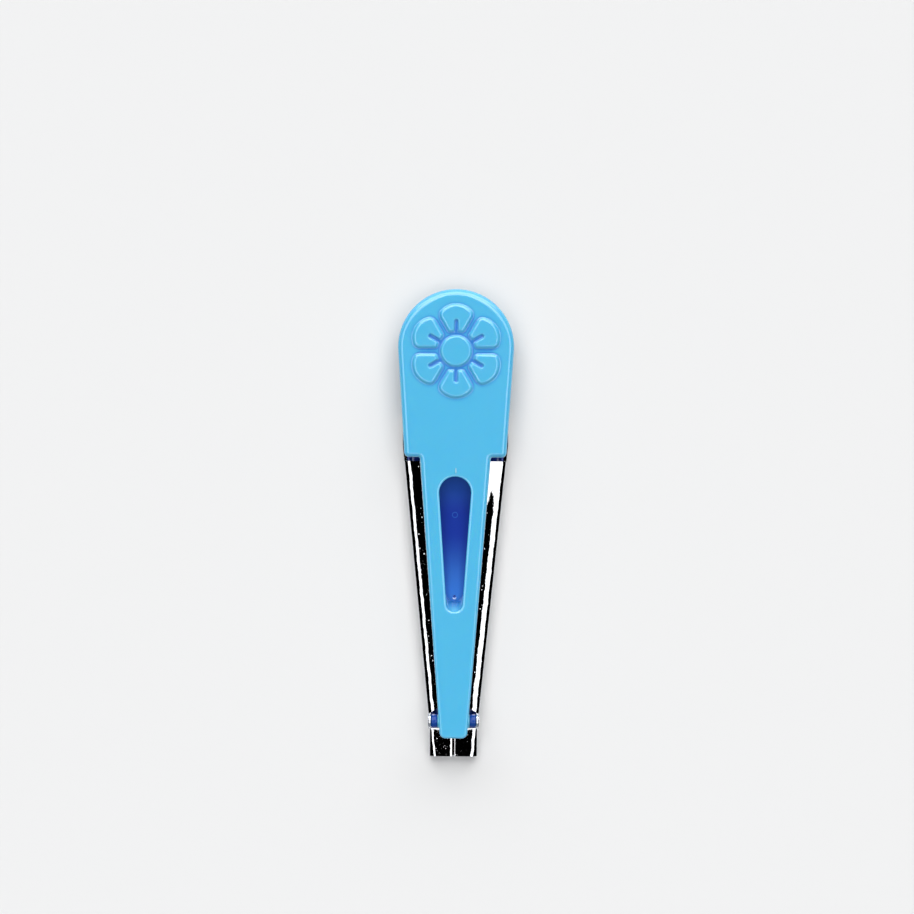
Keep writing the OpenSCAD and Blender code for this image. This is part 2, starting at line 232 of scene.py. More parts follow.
def new_group(name, inputs, outputs):
    """Empty shader group with its named sockets, and its two end nodes."""
    group = bpy.data.node_groups.new(name, "ShaderNodeTree")
    for label, kind, value in inputs:
        socket = group.interface.new_socket(label, in_out="INPUT", socket_type=kind)
        if value is not None:
            socket.default_value = value
    for label, kind in outputs:
        group.interface.new_socket(label, in_out="OUTPUT", socket_type=kind)
    return group, group.nodes.new("NodeGroupInput"), group.nodes.new("NodeGroupOutput")


def moulded_surface():
    """Moulded plastic: slow waves in the surface, faint flow marks and a few fine scuffs. The share
    TintAndPaintedLight takes its colour to the deeper tint, for painted shade and for a part's own
    darker colour, and below zero to a pale whitish tint, for painted highlight and paler marks."""
    group, come, go = new_group(
        "moulded_surface",
        [("Vector", "NodeSocketVector", None), ("Base", "NodeSocketColor", (0.5, 0.5, 0.5, 1)),
         ("Deep", "NodeSocketColor", (0.2, 0.2, 0.2, 1)), ("Mottle", "NodeSocketFloat", 0.1),
         ("TintAndPaintedLight", "NodeSocketFloat", 0.0), ("Roughness", "NodeSocketFloat", 0.2)],
        [("Color", "NodeSocketColor"), ("Roughness", "NodeSocketFloat"),
         ("Height", "NodeSocketFloat")],
    )
    link = group.links.new
    waves = node(group, "ShaderNodeTexNoise", Scale=160.0, Detail=2.0, Roughness=0.5)
    grain = node(group, "ShaderNodeTexNoise", Scale=2600.0, Detail=3.0, Roughness=0.6)
    scuffs = node(group, "ShaderNodeTexNoise", Scale=420.0, Detail=3.0, Roughness=0.6)
    for texture in (waves, grain, scuffs):
        link(come.outputs["Vector"], texture.inputs["Vector"])
    # The waves as mottle, and the painted shade share, take the colour towards the deeper tint.
    share = node(group, "ShaderNodeMath", operation="MULTIPLY_ADD", use_clamp=True)
    link(waves.outputs["Fac"], share.inputs[0])
    link(come.outputs["Mottle"], share.inputs[1])
    link(come.outputs["TintAndPaintedLight"], share.inputs[2])
    mix = node(group, "ShaderNodeMix", data_type="RGBA")
    link(share.outputs["Value"], mix.inputs["Factor"])
    link(come.outputs["Base"], mix.inputs["A"])
    link(come.outputs["Deep"], mix.inputs["B"])
    # Below zero the share takes the colour to a pale whitish tint: painted highlight and paler
    # marks.
    pale = node(group, "ShaderNodeMath", operation="MULTIPLY", use_clamp=True)
    pale.inputs[1].default_value = -1.0
    link(come.outputs["TintAndPaintedLight"], pale.inputs[0])
    whitish_mix = node(group, "ShaderNodeMix", data_type="RGBA")
    whitish_mix.inputs["B"].default_value = (0.8, 0.88, 1, 1)
    link(pale.outputs["Value"], whitish_mix.inputs["Factor"])
    link(mix.outputs["Result"], whitish_mix.inputs["A"])
    link(whitish_mix.outputs["Result"], go.inputs["Color"])
    rough = node(group, "ShaderNodeMapRange", From_Min=0.35, From_Max=0.75, To_Min=0.0, To_Max=0.04)
    link(scuffs.outputs["Fac"], rough.inputs["Value"])
    total = node(group, "ShaderNodeMath", operation="ADD")
    link(rough.outputs["Result"], total.inputs[0])
    link(come.outputs["Roughness"], total.inputs[1])
    link(total.outputs["Value"], go.inputs["Roughness"])
    height = node(group, "ShaderNodeMath", operation="MULTIPLY_ADD")
    height.inputs[1].default_value = 0.04
    link(grain.outputs["Fac"], height.inputs[0])
    link(waves.outputs["Fac"], height.inputs[2])
    link(height.outputs["Value"], go.inputs["Height"])
    return group


def plated_surface():
    """Bright plating: slow dents from folding, a fine ripple, and a few pits and specks."""
    group, come, go = new_group(
        "plated_surface",
        [("Vector", "NodeSocketVector", None), ("Roughness", "NodeSocketFloat", 0.05)],
        [("Color", "NodeSocketColor"), ("Roughness", "NodeSocketFloat"),
         ("Height", "NodeSocketFloat")],
    )
    link = group.links.new
    dents = node(group, "ShaderNodeTexNoise", Scale=260.0, Detail=1.0, Roughness=0.4)
    ripple = node(group, "ShaderNodeTexNoise", Scale=2900.0, Detail=2.0, Roughness=0.55)
    pits = node(group, "ShaderNodeTexVoronoi", Scale=1500.0, Randomness=1.0)
    for texture in (dents, ripple, pits):
        link(come.outputs["Vector"], texture.inputs["Vector"])
    pit = node(group, "ShaderNodeMapRange", From_Min=0.02, From_Max=0.1, To_Min=-1.6, To_Max=0.0)
    crowd = node(group, "ShaderNodeMapRange", From_Min=0.54, From_Max=0.72, To_Min=0.0, To_Max=-0.1)
    spread = node(group, "ShaderNodeMath", operation="ADD")
    link(dents.outputs["Fac"], crowd.inputs["Value"])
    link(pits.outputs["Distance"], spread.inputs[0])
    link(crowd.outputs["Result"], spread.inputs[1])
    link(spread.outputs["Value"], pit.inputs["Value"])
    fine = node(group, "ShaderNodeMath", operation="MULTIPLY_ADD")
    fine.inputs[1].default_value = 2.4
    link(ripple.outputs["Fac"], fine.inputs[0])
    link(dents.outputs["Fac"], fine.inputs[2])
    height = node(group, "ShaderNodeMath", operation="ADD")
    link(fine.outputs["Value"], height.inputs[0])
    link(pit.outputs["Result"], height.inputs[1])
    link(height.outputs["Value"], go.inputs["Height"])
    rough = node(group, "ShaderNodeMath", operation="MULTIPLY_ADD")
    rough.inputs[1].default_value = 0.02
    link(ripple.outputs["Fac"], rough.inputs[0])
    link(come.outputs["Roughness"], rough.inputs[2])
    link(rough.outputs["Value"], go.inputs["Roughness"])
    tint = node(group, "ShaderNodeMix", data_type="RGBA")
    tint.inputs["A"].default_value = colour(232, 233, 236)
    tint.inputs["B"].default_value = colour(216, 219, 226)
    link(dents.outputs["Fac"], tint.inputs["Factor"])
    link(tint.outputs["Result"], go.inputs["Color"])
    return group


def finish(name, group, bump, group_values, shader_values):
    """Material that feeds one group's colour, roughness and height to a Principled shader."""
    material = bpy.data.materials.new(name)
    material.use_nodes = True
    tree = material.node_tree
    tree.nodes.clear()
    place = node(tree, "ShaderNodeTexCoord", -900)
    surface = node(tree, "ShaderNodeGroup", -600, node_tree=group)
    for key, value in group_values.items():
        surface.inputs[key].default_value = value
    rise = node(tree, "ShaderNodeBump", -300, Strength=1.0, Distance=bump)
    shader = node(tree, "ShaderNodeBsdfPrincipled", 0)
    for key, value in shader_values.items():
        shader.inputs[key].default_value = value
    out = node(tree, "ShaderNodeOutputMaterial", 300)
    # The hollow attribute holds the painted shade and painted highlight share, and the liner's own
    # darker colour.
    if "TintAndPaintedLight" in surface.inputs:
        hollow = node(tree, "ShaderNodeAttribute", -900, attribute_name="hollow")
        tree.links.new(hollow.outputs["Fac"], surface.inputs["TintAndPaintedLight"])
    tree.links.new(place.outputs["Object"], surface.inputs["Vector"])
    tree.links.new(surface.outputs["Color"], shader.inputs["Base Color"])
    tree.links.new(surface.outputs["Roughness"], shader.inputs["Roughness"])
    tree.links.new(surface.outputs["Height"], rise.inputs["Height"])
    tree.links.new(rise.outputs["Normal"], shader.inputs["Normal"])
    tree.links.new(shader.outputs["BSDF"], out.inputs["Surface"])
    return material


moulded = moulded_surface()
plated = plated_surface()
# Deep is the painted shade colour of the handle's grooves and slot, and the colour of its faint
# mottle.
sky_blue_plastic = finish(
    "sky_blue_plastic", moulded, 0.000006,
    {"Base": colour(85, 182, 221), "Deep": colour(22, 90, 196), "Mottle": 0.04,
     "Roughness": 0.06},
    {"IOR": 1.58, "Specular IOR Level": 0.8, "Subsurface Weight": 0.4,
     "Subsurface Radius": (0.15, 0.4, 1.0), "Subsurface Scale": 0.0007},
)
# Deep is the liner's own dark blue; Base is the lighter blue of its painted pool of light and
# painted highlights.
dark_blue_plastic = finish(
    "dark_blue_plastic", moulded, 0.000006,
    {"Base": colour(78, 155, 245), "Deep": colour(36, 64, 165), "Mottle": 0.04,
     "Roughness": 0.05},
    {"IOR": 1.5, "Specular IOR Level": 1.0},
)
# The washers' navy is their own dark blue, darkened further as painted shade of the deep notches
# they stand in.
shaded_navy_plastic = finish(
    "shaded_navy_plastic", moulded, 0.000006,
    {"Base": colour(14, 64, 146), "Deep": colour(6, 34, 88), "Mottle": 0.3,
     "Roughness": 0.08},
    {"IOR": 1.5, "Specular IOR Level": 0.3},
)
bright_plating = finish(
    "bright_plating", plated, 0.000004, {"Roughness": 0.015}, {"Metallic": 1.0},
)


# Handle


def arc(centre, r, a0, a1, n):
    """n + 1 points of an arc and their outward directions; angles in degrees."""
    a = np.radians(np.linspace(a0, a1, n + 1))
    out = np.column_stack([np.cos(a), np.sin(a)])
    return np.array(centre) + r * out, out


def tangent_angle(c0, r0, c1, r1):
    """Outward direction, in degrees, of the line that touches two circles on their right."""
    v = np.array(c1, float) - np.array(c0, float)
    return np.degrees(np.arctan2(v[1], v[0]) - np.arccos((r0 - r1) / np.hypot(*v)))


def line(p, q, angle, n):
    """n - 1 points strictly between p and q, all facing the same way."""
    t = np.linspace(0, 1, n + 1)[1:-1, None]
    out = np.array([np.cos(np.radians(angle)), np.sin(np.radians(angle))])
    return np.array(p) * (1 - t) + np.array(q) * t, np.repeat(out[None], n - 1, axis=0)


def both_halves(parts):
    """Closed outline from the arcs and lines of its right half, met by their mirror image."""
    path = np.concatenate([p for p, _ in parts])
    out = np.concatenate([n for _, n in parts])
    keep = path[:, 0] > 1e-6
    back, back_out = path[keep][::-1] * [-1, 1], out[keep][::-1] * [-1, 1]
    return np.concatenate([path, back]), np.concatenate([out, back_out])


NOSE_S = 3.1
NOSE_HALF = 2.125
NOSE_R = 0.9
STRAP_REAR_HALF = 5.45
SHOULDER_HALF = 7.85
SHOULDER_R = 0.76
INNER_R = 0.3


def handle_outline():
    """Outline in plan, from the middle of the nose round the right side to the far end: nose
    corner, strap side, hollow corner, shoulder, head side and the head's arc."""
    nose = (NOSE_HALF - NOSE_R, NOSE_S + NOSE_R)
    strap = tangent_angle(nose, NOSE_R, (STRAP_REAR_HALF, SHOULDER), 0)
    corner = (SHOULDER_HALF - SHOULDER_R, SHOULDER + SHOULDER_R)
    head = tangent_angle(corner, SHOULDER_R, (0, HEAD_S), HEAD_R)
    out = np.array([np.cos(np.radians(strap)), np.sin(np.radians(strap))])
    foot = np.array(nose) + NOSE_R * out
    low = SHOULDER - INNER_R
    hollow = (foot[0] + (INNER_R - out[1] * (low - foot[1])) / out[0], low)
    nose_arc = arc(nose, NOSE_R, -90, strap, 14)
    hollow_arc, hollow_out = arc(hollow, -INNER_R, strap, -90, 8)
    shoulder_arc = arc(corner, SHOULDER_R, -90, head, 12)
    head_arc = arc((0, HEAD_S), HEAD_R, head, 90, 110)
    return both_halves([
        line((-0.001, NOSE_S), nose_arc[0][0], -90, 6),
        nose_arc,
        line(nose_arc[0][-1], hollow_arc[0], strap, 70),
        (hollow_arc, hollow_out),
        line(hollow_arc[-1], shoulder_arc[0][0], -90, 6),
        shoulder_arc,
        line(shoulder_arc[0][-1], head_arc[0][0], head, 24),
        head_arc,
    ])


def edge_radius(path, out):
    """Radius of the upper edge: small at the nose, wider along the sides, widest round the
    far end, where it grows with how far the edge faces backwards."""
    s = path[:, 1]
    r = 0.34 + 0.4 * smooth(8, 55, s)
    return r + 0.46 * smooth(0.15, 0.95, out[:, 1]) * (s > SHOULDER + 2)


STOP_DROP = 1.95
NOSE_BEND = HINGE_S - 1.9722


def underside(s):
    """Level of the plate's underside: flat, and before NOSE_BEND sloped up, so that it lies
    STOP_DROP below the hinge when the handle is open and has landed on the tube."""
    tilt = np.radians(OPEN_ANGLE)
    slope = (-STOP_DROP - (s - HINGE_S) * np.sin(tilt)) / np.cos(tilt)
    return np.maximum(PLATE_LOW, HINGE_Z + slope)


SLOT_FRONT = 22.4
SLOT_REAR = 43.15
SLOT_FRONT_R = 1.25
SLOT_REAR_R = 2.45
SLOT_RAMP = 1.6
SLOT_DEPTH = 4.0
SLOT_RIM = 0.34
RIM_DEPTH = 0.085


def slot_outline(shift, grow):
    """Outline of the awl slot with its front arc moved back by shift and everything moved out
    by grow: two arcs and the lines that touch both."""
    widen = (SLOT_REAR_R - SLOT_FRONT_R) / (SLOT_REAR - SLOT_FRONT - SLOT_REAR_R - SLOT_FRONT_R)
    r = SLOT_FRONT_R + widen * shift
    front = (0, SLOT_FRONT + SLOT_FRONT_R + shift)
    rear = (0, SLOT_REAR - SLOT_REAR_R)
    turn = tangent_angle(front, r, rear, SLOT_REAR_R)
    front_arc = arc(front, r + grow, -90, turn, 36)
    rear_arc = arc(rear, SLOT_REAR_R + grow, turn, 90, 40)
    side = line(front_arc[0][-1], rear_arc[0][0], turn, 50)
    return both_halves([front_arc, side, rear_arc])[0]


KEEL_FRONT = 8.65
KEEL_RAMP = 4
KEEL_IN = 3.35


def keel_outline():
    """Outline of the keel in plan: round front end, tapering sides and a square rear end."""
    front = half_width(KEEL_FRONT) - KEEL_IN
    rear = half_width(TAPER_END) - KEEL_IN
    end = SHOULDER + KEEL_RAMP
    side = [(front, KEEL_FRONT), (rear, TAPER_END), (rear, end), (0, end)]
    nose_arc, _ = arc((0, KEEL_FRONT), front, -90, 0, 10)
    right = np.concatenate([nose_arc[:-1], np.array(side)])
    left = right[1:-1][::-1] * [-1, 1]
    return np.concatenate([right, left])


def keel_level(x, s):
    """Level of the keel's underside: flat, then up to the plate along the rear ramp."""
    return KEEL_LOW + (PLATE_LOW - KEEL_LOW) * np.clip((s - SHOULDER) / KEEL_RAMP, 0, 1)


PETAL_REACH = 7.2
PETAL_END_R = 3.1
PETAL_GAP = 0.86
PETAL_H = 0.3
VEIN = (2.4, 4.5)
VEIN_R = 0.31
DISC_R = 2.4
ROOT_R = 2.95
FLOWER_R = 7.95


def round_meet(a, b, r):
    """Distance to where two shapes overlap, from the distance to each, with corners of r."""
    u, v = a + r, b + r
    return np.minimum(np.maximum(u, v), 0) + np.hypot(np.maximum(u, 0), np.maximum(v, 0)) - r


def raised(d, width=0.48):
    """Height share across an edge at signed distance d: a pillow-like parabola inside the edge,
    and outside it a short steep foot."""
    inner = 1 - 0.84 * np.clip((d + width) / width, 0, 1) ** 2
    return np.where(d < 0, inner, 0.16 * np.exp(-np.maximum(d, 0) / 0.045))


def flower_edges(rho, theta):
    """Signed distances from polar places round the flower's middle to its petals, its disc and
    the grooves in the petals. Each place is folded into one petal; a petal is where a circle,
    two straight sides and the outside of the root circle meet."""
    sixth = PI / 3
    fold = np.abs((theta + sixth / 2) % sixth - sixth / 2)
    u, v = rho * np.sin(fold), rho * np.cos(fold)
    end = np.hypot(u, v - PETAL_REACH + PETAL_END_R) - PETAL_END_R
    side = u * np.cos(PI / 6) - v * np.sin(PI / 6) + PETAL_GAP / 2
    petal = round_meet(round_meet(end, side, 0.62), ROOT_R - rho, 0.4)
    vein = np.hypot(u, v - np.clip(v, *VEIN)) - VEIN_R
    return petal, rho - DISC_R, vein


def flower_height(rho, theta):
    """Relief of the flower: raised petals and disc, less a groove run out along each petal."""
    petal, disc, vein = flower_edges(rho, theta)
    groove = 1 - smooth(-0.16, 0.16, vein)
    return PETAL_H * np.minimum(raised(petal) * (1 - groove) + raised(disc, 0.36), 1)


def flower_parts():
    """The flower as a grid of rings and spokes, closed by a fan of triangles in its middle, and
    its outermost ring in plan."""
    spokes = 420
    rho = np.concatenate([np.linspace(0.15, 2.0, 14)[:-1], np.linspace(2.0, 7.5, 96),
                          [7.65, 7.8, FLOWER_R]])
    theta = np.linspace(0, 2 * PI, spokes, endpoint=False)
    r, t = np.meshgrid(rho, theta, indexing="ij")
    z = PLATE_TOP + flower_height(r, t)
    z[-3:] = PLATE_TOP
    points = np.stack([r * np.sin(t), FLOWER_S + r * np.cos(t), z], -1)
    middle = np.array([[0, FLOWER_S, PLATE_TOP + flower_height(0.0, 0.0)]])
    fan = [[0, (i + 1) % spokes + 1, i + 1] for i in range(spokes)]
    cap = np.concatenate([middle, points[0]]), fan
    return [grid(points, closed=True, flip=True), cap], points[-1, :, :2]


def rim(path, out):
    """The moulding's edge carried round the outline, from a small bevel below to the large
    round edge above, and the loops in plan where the faces below and above it start."""
    r = edge_radius(path, out)
    turn = np.radians(np.linspace(0, 90, 11))[:, None]
    bevel = np.array([[0.18, 0], [0.15, 0], [0.09, 0.03], [0.03, 0.09], [0, 0.15]])
    inset = np.concatenate([bevel[:, :1] + 0 * r, r * (1 - np.cos(turn)), [r + 0.03]])
    level = np.concatenate([bevel[:, 1:] + underside(path[:, 1]),
                            PLATE_TOP - r * (1 - np.sin(turn)), [PLATE_TOP + 0 * r]])
    low_loop, top_loop = (path - inset[k][:, None] * out for k in (0, -1))
    return sweep(path, out, inset, level), low_loop, top_loop


def slot_walls():
    """The awl slot's rounded rim and its walls, which run back at the front end, and the loops
    in plan where they meet the faces above and below."""
    q = np.linspace(0, 1, 7)
    grow = np.concatenate([[SLOT_RIM + 0.03], SLOT_RIM * (1 - q), np.zeros(18)])
    depth = np.concatenate([[0], RIM_DEPTH * q ** 2, [0.13, 0.2],
                            np.linspace(0.35, SLOT_DEPTH, 16)])
    wall = np.stack([slot_outline(SLOT_RAMP * d / SLOT_DEPTH, g) for d, g in zip(depth, grow)])
    level = PLATE_TOP - depth[:, None, None] + 0 * wall[..., :1]
    return grid(np.concatenate([wall, level], -1), closed=True), wall[0], wall[-1]


def plate_underside(low_loop, keel):
    """Underside of the plate round the keel, with a crease where it slopes up under the nose."""
    reach = np.interp(NOSE_BEND, [NOSE_S + NOSE_R, SHOULDER], [NOSE_HALF, STRAP_REAR_HALF]) - 0.25
    crease = [(-reach, NOSE_BEND), (reach, NOSE_BEND)]
    return flat_fill(low_loop, [keel], lambda x, s: underside(s), True, [crease])


def keel_parts(keel, slot_low):
    """The keel's upright walls, and its underside round the slot with a crease where the rear
    ramp starts."""
    share = np.linspace(0, 1, 3)[:, None]
    level = keel_level(keel[:, 0], keel[:, 1]) * (1 - share) + PLATE_LOW * share
    walls = np.concatenate([np.repeat(keel[None], 3, 0), level[..., None]], -1)
    reach = half_width(TAPER_END) - KEEL_IN - 0.01
    crease = [(-reach, SHOULDER), (reach, SHOULDER)]
    return [grid(walls, closed=True), flat_fill(keel, [slot_low], keel_level, True, [crease])]


TICK = (0.1, 44.05)
TICK_HALF = (0.08, 0.45)
TICK_H = 0.04
HUB_HALF = 2.45
HUB_R = 1.05


def tick_part():
    """The fine raised tick behind the slot: a long flat ellipsoid half sunk in the plate."""
    turn = np.linspace(0, 2 * PI, 24, endpoint=False)
    tier = np.linspace(-PI / 2, PI / 2, 11)[:, None]
    x = TICK_HALF[0] * np.cos(tier) * np.cos(turn) + TICK[0]
    s = TICK[1] + TICK_HALF[1] * np.cos(tier) * np.sin(turn)
    z = PLATE_TOP + TICK_H * np.sin(tier) + 0 * turn
    return grid(np.stack([x, s, z], -1), closed=True)


def handle_piece():
    """The handle in one moulding: rim, slot walls, flower, the faces between them, keel, tick
    and hub."""
    edge, low_loop, top_loop = rim(*handle_outline())
    slot, slot_top, slot_low = slot_walls()
    flower, flower_loop = flower_parts()
    keel = keel_outline()
    parts = [edge, slot, *flower]
    parts.append(flat_fill(top_loop, [slot_top, flower_loop], lambda x, s: PLATE_TOP + 0 * x))
    parts.append(plate_underside(low_loop, keel))
    parts += keel_parts(keel, slot_low)
    parts.append(tick_part())
    hub = np.array([[-HUB_HALF, 0], [-HUB_HALF, HUB_R], [HUB_HALF, HUB_R], [HUB_HALF, 0]])
    parts.append(turned(rounded(hub, 0.1), HINGE_S, HINGE_Z))
    obj = piece("handle_moulding", parts, "handle", "handle_plastic", sky_blue_plastic, "handle")
    paint_shade_on_handle(obj)
    obj.data.set_sharp_from_angle(angle=np.radians(75))
    return obj


def places(obj):
    """Where a mesh's points are: across the tool, from its tip, and up."""
    co = np.empty(len(obj.data.vertices) * 3, np.float32)
    obj.data.vertices.foreach_get("co", co)
    return (co.reshape(-1, 3).astype(float) / MM + [0, OVERALL / 2, 0]).T


def paint_shade_on_handle(obj):
    """Share of the deeper tint at each point of the handle, as painted shade: in the flower's
    grooves, fading out round the petals, down the slot's walls, and less down the slope at its
    front end. The tick is a little pale."""
    x, s, z = places(obj)
    rho, theta = np.hypot(x, s - FLOWER_S), np.arctan2(x, s - FLOWER_S)
    petal, disc, vein = flower_edges(rho, theta)
    near = np.minimum(petal, disc)
    # Painted shade in the flower's grooves and in a soft halo round its petals and disc.
    relief_shade = 0.6 * smooth(-0.06, 0.08, near) * np.exp(-np.maximum(near - 0.3, 0) / 0.15)
    relief_shade *= 1 - 0.6 * smooth(5.4, 7.1, rho)
    groove = 0.7 * (1 - smooth(-0.14, 0.06, vein)) * (rho > 2.5) * (rho < 5.1)
    relief_shade = np.maximum(relief_shade, groove)
    relief_shade *= (z > PLATE_TOP - 0.02) * (rho < FLOWER_R - 0.1)
    depth = PLATE_TOP - z
    # Painted shade down the slot's walls, and less on the slope at its front end.
    wall = 0.95 * smooth(0.1, 0.3, depth) * smooth(SLOT_FRONT + 1.2, SLOT_FRONT + 3.4, s)
    ramp = 0.6 * smooth(0.8, 4, depth)
    slot = np.maximum(wall, ramp) * (s > SLOT_FRONT - 0.1) * (s < SLOT_REAR + 0.1)
    slot *= (np.abs(x) < SLOT_REAR_R + 0.05) * (z > KEEL_LOW - 0.01)
    # The tick is painted a little paler.
    tick = (np.abs(x - TICK[0]) < 0.1) & (np.abs(s - TICK[1]) < 0.5) & (z > PLATE_TOP + 0.002)
    paint(obj, np.maximum(relief_shade, slot) - 0.35 * tick)


def paint(obj, share):
    """Keeps the share of the deeper tint at each point of a mesh, or below zero that of the pale
    whitish tint, as the attribute that its material reads: painted shade and painted highlight,
    and a part's own darker colour."""
    layer = obj.data.attributes.new("hollow", "FLOAT", "POINT")
    layer.data.foreach_set("value", share.astype(np.float32))


# Folder

JOIN_Z = 1.3
RELIEF = 0.12
SEAM_HALF = 0.175
FLAP = 3
EAR_R = 1.25
EAR_NECK = (4.62, 6.45)
NECK_DROP = 0.75
PIN_HOLE_R = 0.55
SLANT = np.tan(np.radians(34))
SLANT_END = 12
CORNER_S = 50
CORNER_R = 1.5
CORNER_Z = WALL_TOP - CORNER_R
STEEP = 45
GENTLE = 17.5
STAKES = (24.5, 37.2)
STAKE_R = 0.55
STAKE_HEAD_R = 0.95
STAKE_PLAY = 0.03


def folder_rows():
    """Distances from the tip at which every strip of the sheet has points, zone by zone."""
    zones = [(0, 3.9, 8), (3.9, TUBE_LEN, 8), (TUBE_LEN, TUBE_LEN + RELIEF, 1),
             (TUBE_LEN + RELIEF, EAR_NECK[0], 1), (EAR_NECK[0], EAR_NECK[1], 12),
             (EAR_NECK[1], RAIL_FRONT, 1), (RAIL_FRONT, SLANT_END, 26),
             (SLANT_END, RAIL_REAR, 170), (RAIL_REAR, TAPER_END, 6), (TAPER_END, CORNER_S, 4),
             (CORNER_S, FOLDER_LEN, 10)]
    rows = [np.linspace(a, b, n + 1)[:-1] for a, b, n in zones]
    return np.concatenate(rows + [[FOLDER_LEN]])


def rear_end(s, z):
    """Rows behind CORNER_S drawn in to the round rear corner of the side wall, whose quarter
    circle starts at the height CORNER_Z."""
    rise = np.clip(z - CORNER_Z, 0, CORNER_R)
    end = FOLDER_LEN - CORNER_R + np.sqrt(np.clip(CORNER_R ** 2 - rise ** 2, 0, None))
    drawn = CORNER_S + (s - CORNER_S) * (end - CORNER_S) / (FOLDER_LEN - CORNER_S)
    return np.where(s > CORNER_S, drawn, s)


def wave(s, seed):
    """Slow unevenness along the hand-set flaps: a sum of three waves of set phases."""
    return (np.sin(s / 2.9 + seed) + 0.7 * np.sin(s / 1.3 + 2.1 * seed)
            + 0.4 * np.sin(s / 0.7 + 3.7 * seed)) / 2.1


def flap_slope(s, reach, side):
    """Slope of a flap towards the middle, at a distance in from its bend: a slight fall on the
    left and on the right, but the right flap rises behind a ragged oblique line near the mouth."""
    if side < 0:
        return -0.012 + 0 * s * reach
    border = 41 - np.where(reach < 0.6, 5.0 * (0.6 - reach), 4.5 * (reach - 0.6))
    border = border - wave(9 * s + 3 * reach, 2) * np.cos(5 * reach)
    return -0.003 + 0.052 * smooth(-1.0, 1.0, s - border)


def crowned_bend(height, arcs):
    """Section of a hand-set bend from the upright wall to level, one arc after another: each
    has its radius, which may be an array along the tool, its first and last slope in degrees
    and its steps. Returns how far in from the wall and how high each point is. The callers
    change from one arc to the next at the slopes STEEP and GENTLE."""
    inset, drop, far, fall = [], [], 0, 0
    for radius, first, last, steps in arcs:
        radius = np.reshape(radius, (-1, 1))
        a = np.radians(np.linspace(first, last, steps, axis=-1).reshape(-1, steps))
        inset.append(far + radius * (np.sin(a[:, :1]) - np.sin(a)))
        drop.append(fall + radius * (np.cos(a) - np.cos(a[:, :1])))
        far, fall = inset[-1][:, -1:], drop[-1][:, -1:]
    rows = max(len(i) for i in inset)
    inset = [np.repeat(i, rows // len(i), 0)[:, k > 0:] for k, i in enumerate(inset)]
    drop = [np.repeat(i, rows // len(i), 0)[:, k > 0:] for k, i in enumerate(drop)]
    inset, drop = np.concatenate(inset, 1), np.concatenate(drop, 1)
    return inset, height - drop[:, -1:] + drop


def with_wall(inset, z, foot, steps):
    """A crowned bend together with the upright wall below it, from the wall's foot up."""
    rise = np.linspace(0, 1, steps)[None, :-1]
    inset = np.concatenate([0 * rise + 0 * inset[:, :1], inset], 1)
    return inset, np.concatenate([foot + rise * (z[:, :1] - foot), z], 1)


def lower_wall(s):
    """Lower bend and wall, from the floor's edge up to where the upper strips join on."""
    a = np.radians(np.linspace(0, 90, 10))
    bend = np.column_stack([BEND * np.sin(a), BEND - BEND * np.cos(a)])
    bend = np.concatenate([bend, [[BEND, 1.1], [BEND, JOIN_Z]]])
    z = bend[None, :, 1] + 0 * s[:, None]
    rows = rear_end(s[:, None], z)
    return grid(np.stack([half_width(rows) - BEND + bend[None, :, 0], rows, z], -1))


def tube_top(s, side):
    """Upper wall of the tube and its flap, whose edge curls down along the seam and up a
    little at the tube's rear end."""
    back = s / TUBE_LEN
    ripple = 1 + 0.12 * wave(4 * s, 2.4 + side)
    crown, curl_h, curl_w = (0.9, 0.06, 0.09) if side < 0 else (1.35, 0.014, 0.024)
    arcs = [(0.2 + 0 * back, 90, STEEP, 6), ((1.6 - back) * ripple, STEEP, GENTLE, 8),
            (crown * ripple, GENTLE, 0, 8)]
    inset, z = with_wall(*crowned_bend(TUBE_H, arcs), JOIN_Z, 4)
    over = 1 - (1 - np.linspace(0, 1, 16)[None, 1:]) ** 2.2
    flap = inset[:, -1:] + over * (TUBE_HALF - SEAM_HALF - inset[:, -1:])
    curl = curl_h * np.exp(-(TUBE_HALF - SEAM_HALF - flap) / curl_w)
    curl = curl - 0.03 * np.exp(-(TUBE_LEN - s[:, None]) / 0.2)
    inset = np.concatenate([inset, flap], 1)
    z = np.concatenate([z, TUBE_H - curl], 1)
    return grid(np.stack([TUBE_HALF - inset, s[:, None] + 0 * inset, z], -1))


def upper_wall(s):
    """Wall from the lower one up to the rail's bend, in the rows of the mouth's round corner."""
    lift = np.arcsin((JOIN_Z - CORNER_Z) / CORNER_R)
    level = CORNER_Z + CORNER_R * np.sin(np.linspace(lift, PI / 2, 8))
    z = level[None] + 0 * s[:, None]
    rows = rear_end(s[:, None], z)
    return grid(np.stack([half_width(rows), rows, z], -1))


def rail(s, side):
    """Upper bend of the wall and the flap turned in over the floor, cut obliquely in front."""
    outer = 1.25 * (1 + 0.1 * wave(3.5 * s, 0.7 + side))
    crown = (1.4 if side < 0 else 2.4) * (1 + 0.1 * wave(3 * s, 2.2 + side))
    start = np.degrees(np.arctan(np.maximum(flap_slope(s, 0, side), 0)))
    arcs = [(0.2 + 0 * s, 90, STEEP, 6), (outer, STEEP, GENTLE, 10), (crown, GENTLE, start, 10)]
    inset, z = with_wall(*crowned_bend(RAIL_H, arcs), WALL_TOP, 3)
    over = np.linspace(0, 1, 24)[None, 1:]
    flap = inset[:, -1:] + over * (FLAP - inset[:, -1:])
    reach = flap - inset[:, -1:]
    step = np.diff(reach, axis=1, prepend=0)
    bow = 0.006 * wave(s, 1.3 + side)[:, None] * np.sin(over * 2.2)
    flap_z = RAIL_H + np.cumsum(flap_slope(s[:, None], reach, side) * step, 1) + bow
    inset = np.concatenate([inset, flap], 1)
    z = np.concatenate([z, flap_z], 1)
    front = RAIL_FRONT + inset * SLANT / (1 + TAPER * SLANT)
    share = np.clip((s[:, None] - RAIL_FRONT) / (SLANT_END - RAIL_FRONT), 0, 1)
    rows = np.where(s[:, None] < SLANT_END, front + share * (SLANT_END - front), s[:, None])
    return grid(np.stack([half_width(rows) - inset, rows, z], -1))


